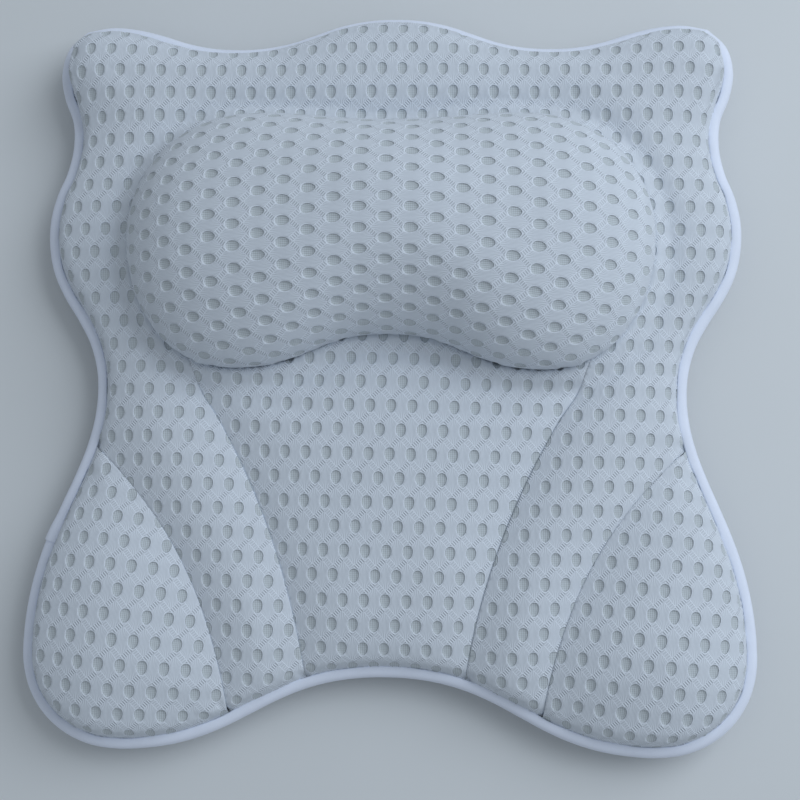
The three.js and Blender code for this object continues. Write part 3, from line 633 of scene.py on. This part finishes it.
def pingpong(value, size):
    """A value folded to and fro between 0 and a size."""
    return np.abs((value - size) % (2 * size) - size)


def smooth_share(value, low, high):
    """How far a value has come from low to high, from 0 to 1 with a soft start and end."""
    t = np.clip((value - low) / (high - low), 0, 1)
    return t * t * (3 - 2 * t)


def eyelets(piece, gap):
    """Presses the eyelets of the knit into a fine sheet and raises the cloth between them, less where the
    gap to its sewn edge is small."""
    mesh = piece.data
    flat = uvs_of(mesh, "cloth")
    across = pingpong(flat[:, 0], PITCH / 2)
    near = np.inf
    for x, start in ((across, 0), (PITCH / 2 - across, ROW)):
        y = (flat[:, 1] + start + ROW) % (2 * ROW) - ROW
        egg = x * (1 - 2 * EYELET_EGG * y / EYELET_H)
        near = np.minimum(near, np.hypot(egg / (EYELET_W / 2), y / (EYELET_H / 2)))
    fade = smooth_share(gap, 0, EYELET_FADE)
    hollow = EYELET_DEPTH * (1 - smooth_share(near, *EYELET_WALL))
    lip = LIP_RISE * np.exp(-((near - LIP_AT) / LIP_WIDTH) ** 2)
    normals = np.empty(len(mesh.vertices) * 3, np.float32)
    mesh.vertex_normals.foreach_get("vector", normals)
    put_points(mesh, points_of(mesh) + normals.reshape(-1, 3) * ((lip - hollow) * fade)[:, None])


def closed_below(piece, floor):
    """Turns a sheet into a closed cushion: its rim runs down to a flat underside."""
    bm = bmesh.new()
    bm.from_mesh(piece.data)
    rim = [e for e in bm.edges if e.is_boundary]
    made = bmesh.ops.extrude_edge_only(bm, edges=rim)["geom"]
    for vert in (g for g in made if isinstance(g, bmesh.types.BMVert)):
        vert.co.z = floor
    low_rim = [g for g in made if isinstance(g, bmesh.types.BMEdge) and g.is_boundary]
    bmesh.ops.holes_fill(bm, edges=low_rim, sides=0)
    bmesh.ops.recalc_face_normals(bm, faces=bm.faces)
    bm.to_mesh(piece.data)
    bm.free()
    piece.data.shade_smooth()


def bend_with_wing(piece):
    """Bakes a piece's placement into its own mesh."""
    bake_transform(piece)


def swell(gap, reach):
    """How far padding has risen at a distance from where it is held down, from 0 to 1."""
    return 1 - (1 - np.clip(gap / reach, 0, 1)) ** SWELL_POWER


def cushion(name, nodes, crown, grain, wing=None):
    """A quilted field of the pad: a sheet cut to the field, risen over its wadding and blown up. It is held
    right down under the edge tape and lightly at a seam, and the roll presses it in."""
    outline = resampled(panel_rims[nodes[0]], SHEET_STEP)
    others = [resampled(rim, FINE_STEP) for panel, rim in panel_rims.items() if panel != nodes[0]]
    close = gap_to(outline, np.concatenate(others))
    outline[:, :2] += outward(outline) * np.where(close < SEAM_GAP, close / 2, 0)[:, None]
    fine = resampled(outline, FINE_STEP)
    at_tape = gap_to(fine, pad_edge) < UNDER_TAPE
    seam_share, seam_round = (WING_SHARE, WING_ROUND) if wing else (SEAM_SHARE, SEAM_ROUND)

    def gaps(points):
        """How far points are from the tape's inner edge, from the seams and from the roll."""
        tape_gap = gap_to(points, fine[at_tape]) - TAPE_COVER
        seam_gap = gap_to(points, fine[~at_tape])
        roll_gap = np.where(within(points, roll_foot), 0, gap_to(points, roll_foot))
        return tape_gap, seam_gap, roll_gap

    def height(tape_gap, seam_gap, roll_gap, head=0):
        """How high the cloth lies at such gaps, head being 1 where it is stuffed as the head end is."""
        share = TAPE_SHARE + (HEAD_SHARE - TAPE_SHARE) * head
        edge = TAPE_EDGE + (HEAD_EDGE - TAPE_EDGE) * head
        reach = TAPE_ROUND + (HEAD_ROUND - TAPE_ROUND) * head
        rise = share * swell(tape_gap, edge) + (1 - share) * swell(tape_gap, reach)
        rise *= seam_share + (1 - seam_share) * swell(seam_gap, seam_round)
        away = np.maximum(roll_gap - ROLL_TUCK, 0)
        rise *= ROLL_SHARE + (1 - ROLL_SHARE) * swell(away, ROLL_ROUND)
        level = RIM_Z + crown * rise
        pushed = ROLL_HEM - HEM_LEAN * away - away ** 2 / HEM_ROUND
        level = (level + pushed + np.hypot(level - pushed, HEM_BLEND)) / 2
        sunk = 1 - smooth_share(roll_gap, 0, SEAT_EDGE)
        return level * (1 - sunk) + SEAT_Z * sunk

    piece = piece_of(name, spread(outline, SHEET_STEP), MESH_CLOTH)
    points = points_of(piece.data)
    tape_gap, seam_gap, roll_gap = gaps(points)
    points[:, 2] = height(tape_gap, seam_gap, roll_gap)
    put_points(piece.data, points)
    held = (seam_gap < SEAM_HOLD) | (tape_gap < TAPE_EDGE) | (roll_gap < ROLL_HOLD)
    puffed(piece, held, PUFF_REACH)
    cloth_map(piece, grain)
    refined(piece)

    # The fine sheet takes its plain height again along the tape and the roll, and rises at the head end.
    points = points_of(piece.data)
    tape_gap, seam_gap, roll_gap = gaps(points)
    held = 1 - smooth_share(tape_gap, *TAPE_EASE) * smooth_share(roll_gap, *ROLL_EASE)
    plain = height(tape_gap, seam_gap, roll_gap)
    head = smooth_share(points[:, 1], HEAD_FROM, HEAD_TO)
    points[:, 2] += (plain - points[:, 2]) * held + height(tape_gap, seam_gap, roll_gap, head) - plain
    put_points(piece.data, points)
    eyelets(piece, np.minimum(seam_gap, tape_gap))
    closed_below(piece, LINING_Z)
    if wing:
        bend_with_wing(piece)
    else:
        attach(piece, "pad")
    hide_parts(*nodes)


PANELS = ("yoke_panel", "centre_panel", "left_wing_panel", "right_wing_panel")
panel_rims = {panel: upper_rim(panel) for panel in PANELS}
back_rim = upper_rim("back_panel")
pad_edge = resampled(back_rim, 2 * MM)
roll_foot = resampled(upper_rim("neck_roll_base"), SHEET_STEP)

# The grain is the knit's shift along and across and its turn in degrees.
WING_GRAIN = {"left": (-8.6 * MM, 15.1 * MM, -4.3), "right": (-2.2 * MM, -8.3 * MM, -4.4)}
CENTRE_GRAIN = (-2.35 * MM, -3.3 * MM, -1.1)
cushion("yoke_cushion", ["yoke_panel", "yoke_fill"], crown=21 * MM, grain=(0, 0, 0))
cushion("centre_cushion", ["centre_panel", "centre_fill"], crown=20 * MM, grain=CENTRE_GRAIN)
for side, grain in WING_GRAIN.items():
    nodes = [f"{side}_wing_panel", f"{side}_wing_fill"]
    cushion(f"{side}_wing_cushion", nodes, crown=25 * MM, grain=grain, wing=side)

ROLL_AXIS = 0.2  # height of the roll's axis, as a share of its own
ROLL_UNDER = -0.9  # its underside's normals point down by more
ROLL_CUT = 2.5 * MM  # its sheet ends this far over its lowest point
ROLL_GRIP = 6 * MM  # and is held up to here when it is blown up


def neck_roll():
    """The bean-shaped roll: the outside of its cover, evened out, blown up and knitted across."""
    bm = copy_of("neck_roll_cover")
    low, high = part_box("neck_roll_cover")
    spine = (high.x - low.x) / 2 - (high.y - low.y) / 2
    axis_y = (low.y + high.y) / 2
    axis_z = low.z + ROLL_AXIS * (high.z - low.z)

    def looks_in(face):
        centre = face.calc_center_median()
        middle = Vector((max(-spine, min(spine, centre.x)), axis_y, axis_z))
        return face.normal.dot(centre - middle) < 0 or face.normal.z < ROLL_UNDER

    bmesh.ops.delete(bm, geom=[f for f in bm.faces if looks_in(f)], context="FACES")
    bmesh.ops.holes_fill(bm, edges=[e for e in bm.edges if e.is_boundary], sides=0)
    bmesh.ops.recalc_face_normals(bm, faces=bm.faces)
    piece = piece_of("neck_roll", bm, MESH_CLOTH)
    even = piece.modifiers.new("Remesh", "REMESH")
    even.mode = "VOXEL"
    even.voxel_size = SHEET_STEP
    relax = piece.modifiers.new("Smooth", "SMOOTH")
    relax.factor = 0.5
    relax.iterations = 12
    applied(piece)
    bm = bmesh.new()
    bm.from_mesh(piece.data)
    below = [f for f in bm.faces if f.calc_center_median().z < low.z + ROLL_CUT]
    bmesh.ops.delete(bm, geom=below, context="FACES")
    outline = rim_of(bm)
    bm.to_mesh(piece.data)
    bm.free()
    puffed(piece, points_of(piece.data)[:, 2] < low.z + ROLL_GRIP, ROLL_PUFF_REACH)
    put_map(piece.data, laid_flat(piece), (0, 0, 90))
    refined(piece)
    eyelets(piece, gap_to(points_of(piece.data), outline))
    closed_below(piece, low.z)
    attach(piece, "pad")
    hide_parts("neck_roll_cover", "neck_roll_fill")


neck_roll()


# Edge tape: its section, as insets from the pad's edge and heights over the back panel's underside.
TAPE_SECTION = (
    (5.75, 6.3), (5.6, 6.65), (5.2, 6.8), (4.2, 6.86), (3.0, 6.75), (1.9, 6.4), (1.0, 5.7), (0.35, 4.6),
    (0.05, 3.4), (0.0, 2.2), (0.15, 1.1), (0.6, 0.0), (1.4, -0.85), (2.5, -1.25), (4.0, -1.35), (5.3, -1.3),
    (5.7, -1.1), (5.7, -0.5), (3.0, -0.45), (1.9, -0.1), (1.25, 0.8), (1.0, 2.2), (1.15, 3.8), (1.8, 5.0),
    (3.0, 5.7), (5.7, 5.8),
)
TAPE_OUTSIDE = 17  # points of the section on the tape's outer face
TAPE_MIDDLE = (2.8, 2.75)
TAPE_STEP = 2.5 * MM
RIPPLES = ((0.18 * MM, 9 * MM, 0), (0.12 * MM, 3.7 * MM, 1))  # of its inner edges: size, run and start
RIPPLE_INSET = 4 * MM  # an inner edge starts here
LAP_END_Y = -89 * MM
LAP_RUN = 16 * MM
LAP_RISE = 0.8 * MM
LAP_DROP = 0.04  # of a step, in which the lap's end falls
AT_MIDDLE = 10 * MM  # the tape's ends lie this near to the middle line
MIDDLE_CUT = 0.8 * MM


def smooth_edge():
    """The pad's outer edge from above, with its inward directions."""
    inner = resampled(back_rim, TAPE_STEP)[:, :2]
    out = outward(inner)
    return inner + out * CUT_INSET, -out


def half_of(points, sign):
    """Which points of a loop lie on one side of the middle line, in order from the top."""
    start = np.argmax(points[:, 1] * (np.abs(points[:, 0]) < AT_MIDDLE))
    order = np.roll(np.arange(len(points)), -start)
    return order[points[order, 0] * sign > MIDDLE_CUT]


def edge_tape(side):
    """Half of the folded tape: its section carried along the edge, with the lapped joint on the left."""
    edge, inward = smooth_edge()
    keep = half_of(edge, SIDES[side])
    if edge[keep[0], 1] < edge[keep[-1], 1]:
        keep = keep[::-1]
    line, aim = edge[keep], inward[keep]
    line = np.concatenate([[(0, line[0, 1])], line, [(0, line[-1, 1])]])
    aim = np.concatenate([[(0, -1)], aim, [(0, 1)]])
    run = run_of(line)
    rise = np.zeros(len(line))
    if side == "left":
        end = int(np.argmin(np.abs(line[:, 1] - LAP_END_Y)))
        back = run[end] - run
        rise = np.where(back >= 0, LAP_RISE * (1 - smooth_share(back, 0.2 * LAP_RUN, LAP_RUN)), 0)
        onward = line[end] + LAP_DROP * (line[end + 1] - line[end])
        line = np.insert(line, end + 1, onward, axis=0)
        aim = np.insert(aim, end + 1, aim[end], axis=0)
        run = np.insert(run, end + 1, run[end] + LAP_DROP * TAPE_STEP)
        rise = np.insert(rise, end + 1, 0)
    section = np.array(TAPE_SECTION) * MM
    away = section - np.array(TAPE_MIDDLE) * MM
    away /= np.linalg.norm(away, axis=1, keepdims=True)
    away[TAPE_OUTSIDE:] = 0
    girth = run_of(section)
    bm = bmesh.new()
    bm.verts.layers.float_vector.new("run")
    ring = [bm.verts.new() for _ in section]
    edges = [bm.edges.new((a, b)) for a, b in zip(ring, ring[1:] + ring[:1])]
    bm.faces.new(ring)
    for k in range(len(line)):
        if k:
            made = bmesh.ops.extrude_edge_only(bm, edges=edges)["geom"]
            fresh = {g for g in made if isinstance(g, bmesh.types.BMVert)}
            ring = [next(o for o in (e.other_vert(v) for e in v.link_edges) if o in fresh) for v in ring]
            edges = [g for g in made if isinstance(g, bmesh.types.BMEdge) and fresh.issuperset(g.verts)]
        ripple = sum(size * math.sin(run[k] / length + start) for size, length, start in RIPPLES)
        for i, vert in enumerate(ring):
            inset, height = section[i] + away[i] * rise[k]
            if inset > RIPPLE_INSET:
                inset += ripple
            vert.co = (*(line[k] + aim[k] * inset), BACK_Z + height)
            vert[bm.verts.layers.float_vector["run"]] = (run[k], girth[i], 0)
    bm.faces.new(ring)
    bmesh.ops.recalc_face_normals(bm, faces=bm.faces)
    piece = piece_of(f"edge_tape_{side}", bm, TAPE_CLOTH)
    mesh = piece.data
    mesh.set_sharp_from_angle(angle=SHARP_TURN)
    note = np.empty(len(mesh.vertices) * 3, np.float32)
    mesh.attributes["run"].data.foreach_get("vector", note)
    put_uvs(mesh, "tape", note.reshape(-1, 3)[:, :2])
    mesh.attributes.remove(mesh.attributes["run"])
    bend_with_wing(piece)
    return piece


ROWS = ("shoulder", "side", "wing")
CUP_SPOTS = {
    (row, side): sum(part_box(f"anchor_patch_{row}_{side}"), Vector()) / 2 for row in ROWS for side in SIDES
}
NECK_HOLE_R = 5.3 * MM
NECK_HOLE_SIDES = 24


def back_panel(side):
    """Half of the back: one flat cut of fine mesh with a hole for each cup's neck."""
    turns = np.linspace(0, 2 * math.pi, NECK_HOLE_SIDES, endpoint=False)
    ring = NECK_HOLE_R * np.column_stack([np.cos(turns), np.sin(turns)])
    holes = [ring + (spot.x, spot.y) for spot in CUP_SPOTS.values()]
    bm = spread(resampled(back_rim, 3 * MM), FLAT_STEP, holes)
    whole = bm.verts[:] + bm.edges[:] + bm.faces[:]
    bmesh.ops.bisect_plane(bm, geom=whole, dist=1e-6, plane_no=(-SIDES[side], 0, 0), clear_outer=True)
    for vert in bm.verts:
        vert.co.z = BACK_Z
    bmesh.ops.solidify(bm, geom=bm.faces[:], thickness=BACK_Z - BACK_TOP_Z)
    bmesh.ops.recalc_face_normals(bm, faces=bm.faces)
    piece = piece_of(f"back_panel_{side}", bm, BACK_CLOTH)
    mesh = piece.data
    mesh.set_sharp_from_angle(angle=SHARP_TURN)
    put_uvs(mesh, "cloth", points_of(mesh)[:, :2])
    bend_with_wing(piece)
    return piece


halves = [(edge_tape(side), back_panel(side)) for side in SIDES]
for tape, back in halves:
    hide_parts("edge_binding")
    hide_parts("back_panel")


def roll_base():
    """The plain cloth that closes the roll below and is sewn to the pad."""
    bm = spread(roll_foot, FLAT_STEP)
    low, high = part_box("neck_roll_base")
    for vert in bm.verts:
        vert.co.z = low.z
    bmesh.ops.solidify(bm, geom=bm.faces[:], thickness=low.z - high.z)
    bmesh.ops.recalc_face_normals(bm, faces=bm.faces)
    piece = piece_of("neck_roll_base_cloth", bm, PLAIN_CLOTH)
    piece.data.set_sharp_from_angle(angle=SHARP_TURN)
    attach(piece, "pad")
    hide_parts("neck_roll_base")


roll_base()

PATCH_R = 17 * MM
SEWN_R = PATCH_R - 3.2 * MM  # ring of stitches
SEWN_DIP = 0.35 * MM
PATCH_STITCHES = 34
TURN_STEPS = 64  # of patches and cups


def turned(bm, profile, centre):
    """Spins a closed profile of radius and height pairs round an upright line."""
    corners = [bm.verts.new((centre.x + r, centre.y, z)) for r, z in profile]
    edges = [bm.edges.new((a, b)) for a, b in zip(corners, corners[1:] + corners[:1])]
    bmesh.ops.spin(
        bm, geom=edges, cent=centre, axis=(0, 0, 1), angle=2 * math.pi, steps=TURN_STEPS, use_merge=True
    )
    bmesh.ops.remove_doubles(bm, verts=bm.verts, dist=0.002 * MM)
    bmesh.ops.recalc_face_normals(bm, faces=bm.faces)


def anchor_patch(row, side):
    """A round patch of plain cloth with a ring of stitches, sewn to the back round a cup's neck."""
    node = f"anchor_patch_{row}_{side}"
    low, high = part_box(node)
    centre = CUP_SPOTS[row, side]
    profile = [
        (NECK_HOLE_R, low.z + 0.3 * MM), (NECK_HOLE_R + 0.5 * MM, low.z), (PATCH_R - 4 * MM, low.z),
        (SEWN_R, low.z + SEWN_DIP), (PATCH_R - 2.4 * MM, low.z), (PATCH_R - 0.6 * MM, low.z),
        (PATCH_R, low.z + 0.5 * MM), (PATCH_R - 0.1 * MM, high.z), (NECK_HOLE_R, high.z),
    ]
    bm = bmesh.new()
    turned(bm, profile, Vector((centre.x, centre.y, 0)))
    piece = piece_of(f"sewn_patch_{row}_{side}", bm, PLAIN_CLOTH)
    piece.data.set_sharp_from_angle(angle=SHARP_TURN)
    bm = bmesh.new()
    for k in range(PATCH_STITCHES):
        turn = 2 * math.pi * k / PATCH_STITCHES
        made = bmesh.ops.create_icosphere(bm, subdivisions=1, radius=1.0 * MM)["verts"]
        bmesh.ops.scale(bm, vec=(0.35, 1.0, 0.35), verts=made)
        bmesh.ops.translate(bm, vec=(SEWN_R, 0, low.z + SEWN_DIP - 0.1 * MM), verts=made)
        bmesh.ops.rotate(bm, cent=(0, 0, 0), matrix=Matrix.Rotation(turn, 3, "Z"), verts=made)
    bmesh.ops.translate(bm, vec=(centre.x, centre.y, 0), verts=bm.verts)
    stitches = piece_of(f"patch_stitches_{row}_{side}", bm, THREAD)
    body = f"{side}_wing" if row == "wing" else "pad"
    for made in (piece, stitches):
        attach(made, body)
    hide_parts(node)


def bow(start, towards, end, count):
    """Points on a curve between two points of a profile, drawn towards a third."""
    shares = [k / count for k in range(count + 1)]
    return [
        tuple((1 - t) ** 2 * a + 2 * t * (1 - t) * b + t * t * c for a, b, c in zip(start, towards, end))
        for t in shares
    ]


# A cup's section, in mm from its middle line and over its rim: hollow, rim, dome, neck and button head.
CUP_SECTION = (
    (0, 8.4), *bow((3, 8.4), (14, 8.2), (22.4, 0.1), 9), (22.8, 0), (24.6, 0), (25, 0.35), (25, 0.8),
    *bow((24.7, 1.15), (18, 10.6), (8.6, 11.9), 10), (7.4, 12), *bow((6.2, 12), (5, 12), (5, 13.2), 3),
    *bow((5, 16.2), (5, 17.15), (6, 17.2), 3), (7.8, 17.2), *bow((8.4, 17.8), (8.4, 20.6), (4, 21.9), 6),
    (0, 22.1),
)
TAB_SIZE = (8.4 * MM, 9 * MM, 1.2 * MM)
TAB_X = 27.8 * MM
TAB_ROUND = 4.2 * MM
TAB_BEVEL = 0.3 * MM


def suction_cup(row, side):
    """A clear cup: thin dome, neck and button head turned in one, with a tab for peeling it off."""
    centre = Vector((CUP_SPOTS[row, side].x, CUP_SPOTS[row, side].y, 0))
    bm = bmesh.new()
    turned(bm, [(r * MM, z * MM) for r, z in CUP_SECTION], centre)
    cup = piece_of(f"clear_cup_{row}_{side}", bm, CLEAR_PVC)
    bm = bmesh.new()
    made = bmesh.ops.create_cube(bm, size=1)["verts"]
    bmesh.ops.scale(bm, vec=TAB_SIZE, verts=made)
    bmesh.ops.translate(bm, vec=(TAB_X, 0, TAB_SIZE[2] / 2), verts=made)
    half = TAB_SIZE[2] / 2
    upright = [e for e in bm.edges if abs(e.verts[0].co.z - e.verts[1].co.z) > half]
    outer = [e for e in upright if e.verts[0].co.x > TAB_X]
    bmesh.ops.bevel(bm, geom=outer, offset=TAB_ROUND, affect="EDGES", segments=8, profile=0.5, material=-1)
    upper = [e for e in bm.edges if min(v.co.z for v in e.verts) > half and not e.is_boundary]
    bmesh.ops.bevel(bm, geom=upper, offset=TAB_BEVEL, affect="EDGES", segments=2, profile=0.5, material=-1)
    if side == "right":
        bmesh.ops.rotate(bm, cent=(0, 0, 0), matrix=Matrix.Rotation(math.pi, 3, "Z"), verts=bm.verts)
    bmesh.ops.translate(bm, vec=centre, verts=bm.verts)
    tab = piece_of(f"tab_{row}_{side}", bm, CLEAR_PVC)
    joined = cup.modifiers.new("Tab", "BOOLEAN")
    joined.operation = "UNION"
    joined.object = tab
    applied(cup)
    bpy.data.objects.remove(tab)
    cup.data.shade_smooth()
    cup.data.set_sharp_from_angle(angle=math.radians(40))
    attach(cup, f"{row}_cup_{side}")
    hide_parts(f"suction_cup_{row}_{side}")


for side in SIDES:
    for row in ROWS:
        anchor_patch(row, side)
        suction_cup(row, side)


def stage():
    """Pale board, soft light from the right and above, and the camera."""
    bm = bmesh.new()
    bmesh.ops.create_grid(bm, x_segments=1, y_segments=1, size=4)
    floor = piece_of("floor", bm, pale_board())

    light = bpy.data.lights.new("window", "AREA")
    light.size = 1.6
    light.energy = 24.5
    light.color = linear("#eaf2fa")[:3]
    window = bpy.data.objects.new("window", light)
    window.location = (1.29, 0.69, 1.36)
    window.rotation_euler = (-window.location).to_track_quat("-Z", "Y").to_euler()
    scene.collection.objects.link(window)

    world = bpy.data.worlds.new("room")
    world.use_nodes = True
    room = world.node_tree.nodes["Background"].inputs
    room["Color"].default_value = linear("#dde6ee")
    room["Strength"].default_value = 0.42
    scene.world = world
    scene.view_settings.view_transform = "Standard"

    lens = bpy.data.cameras.new("camera")
    lens.lens = 63
    lens.sensor_width = 36
    lens.clip_start = 0.01
    camera = bpy.data.objects.new("camera", lens)
    camera.location = (0.0375, -0.1164, 0.7468)
    camera.rotation_euler = [math.radians(a) for a in (8, 2.41, 0.75)]
    scene.collection.objects.link(camera)
    scene.camera = camera


stage()
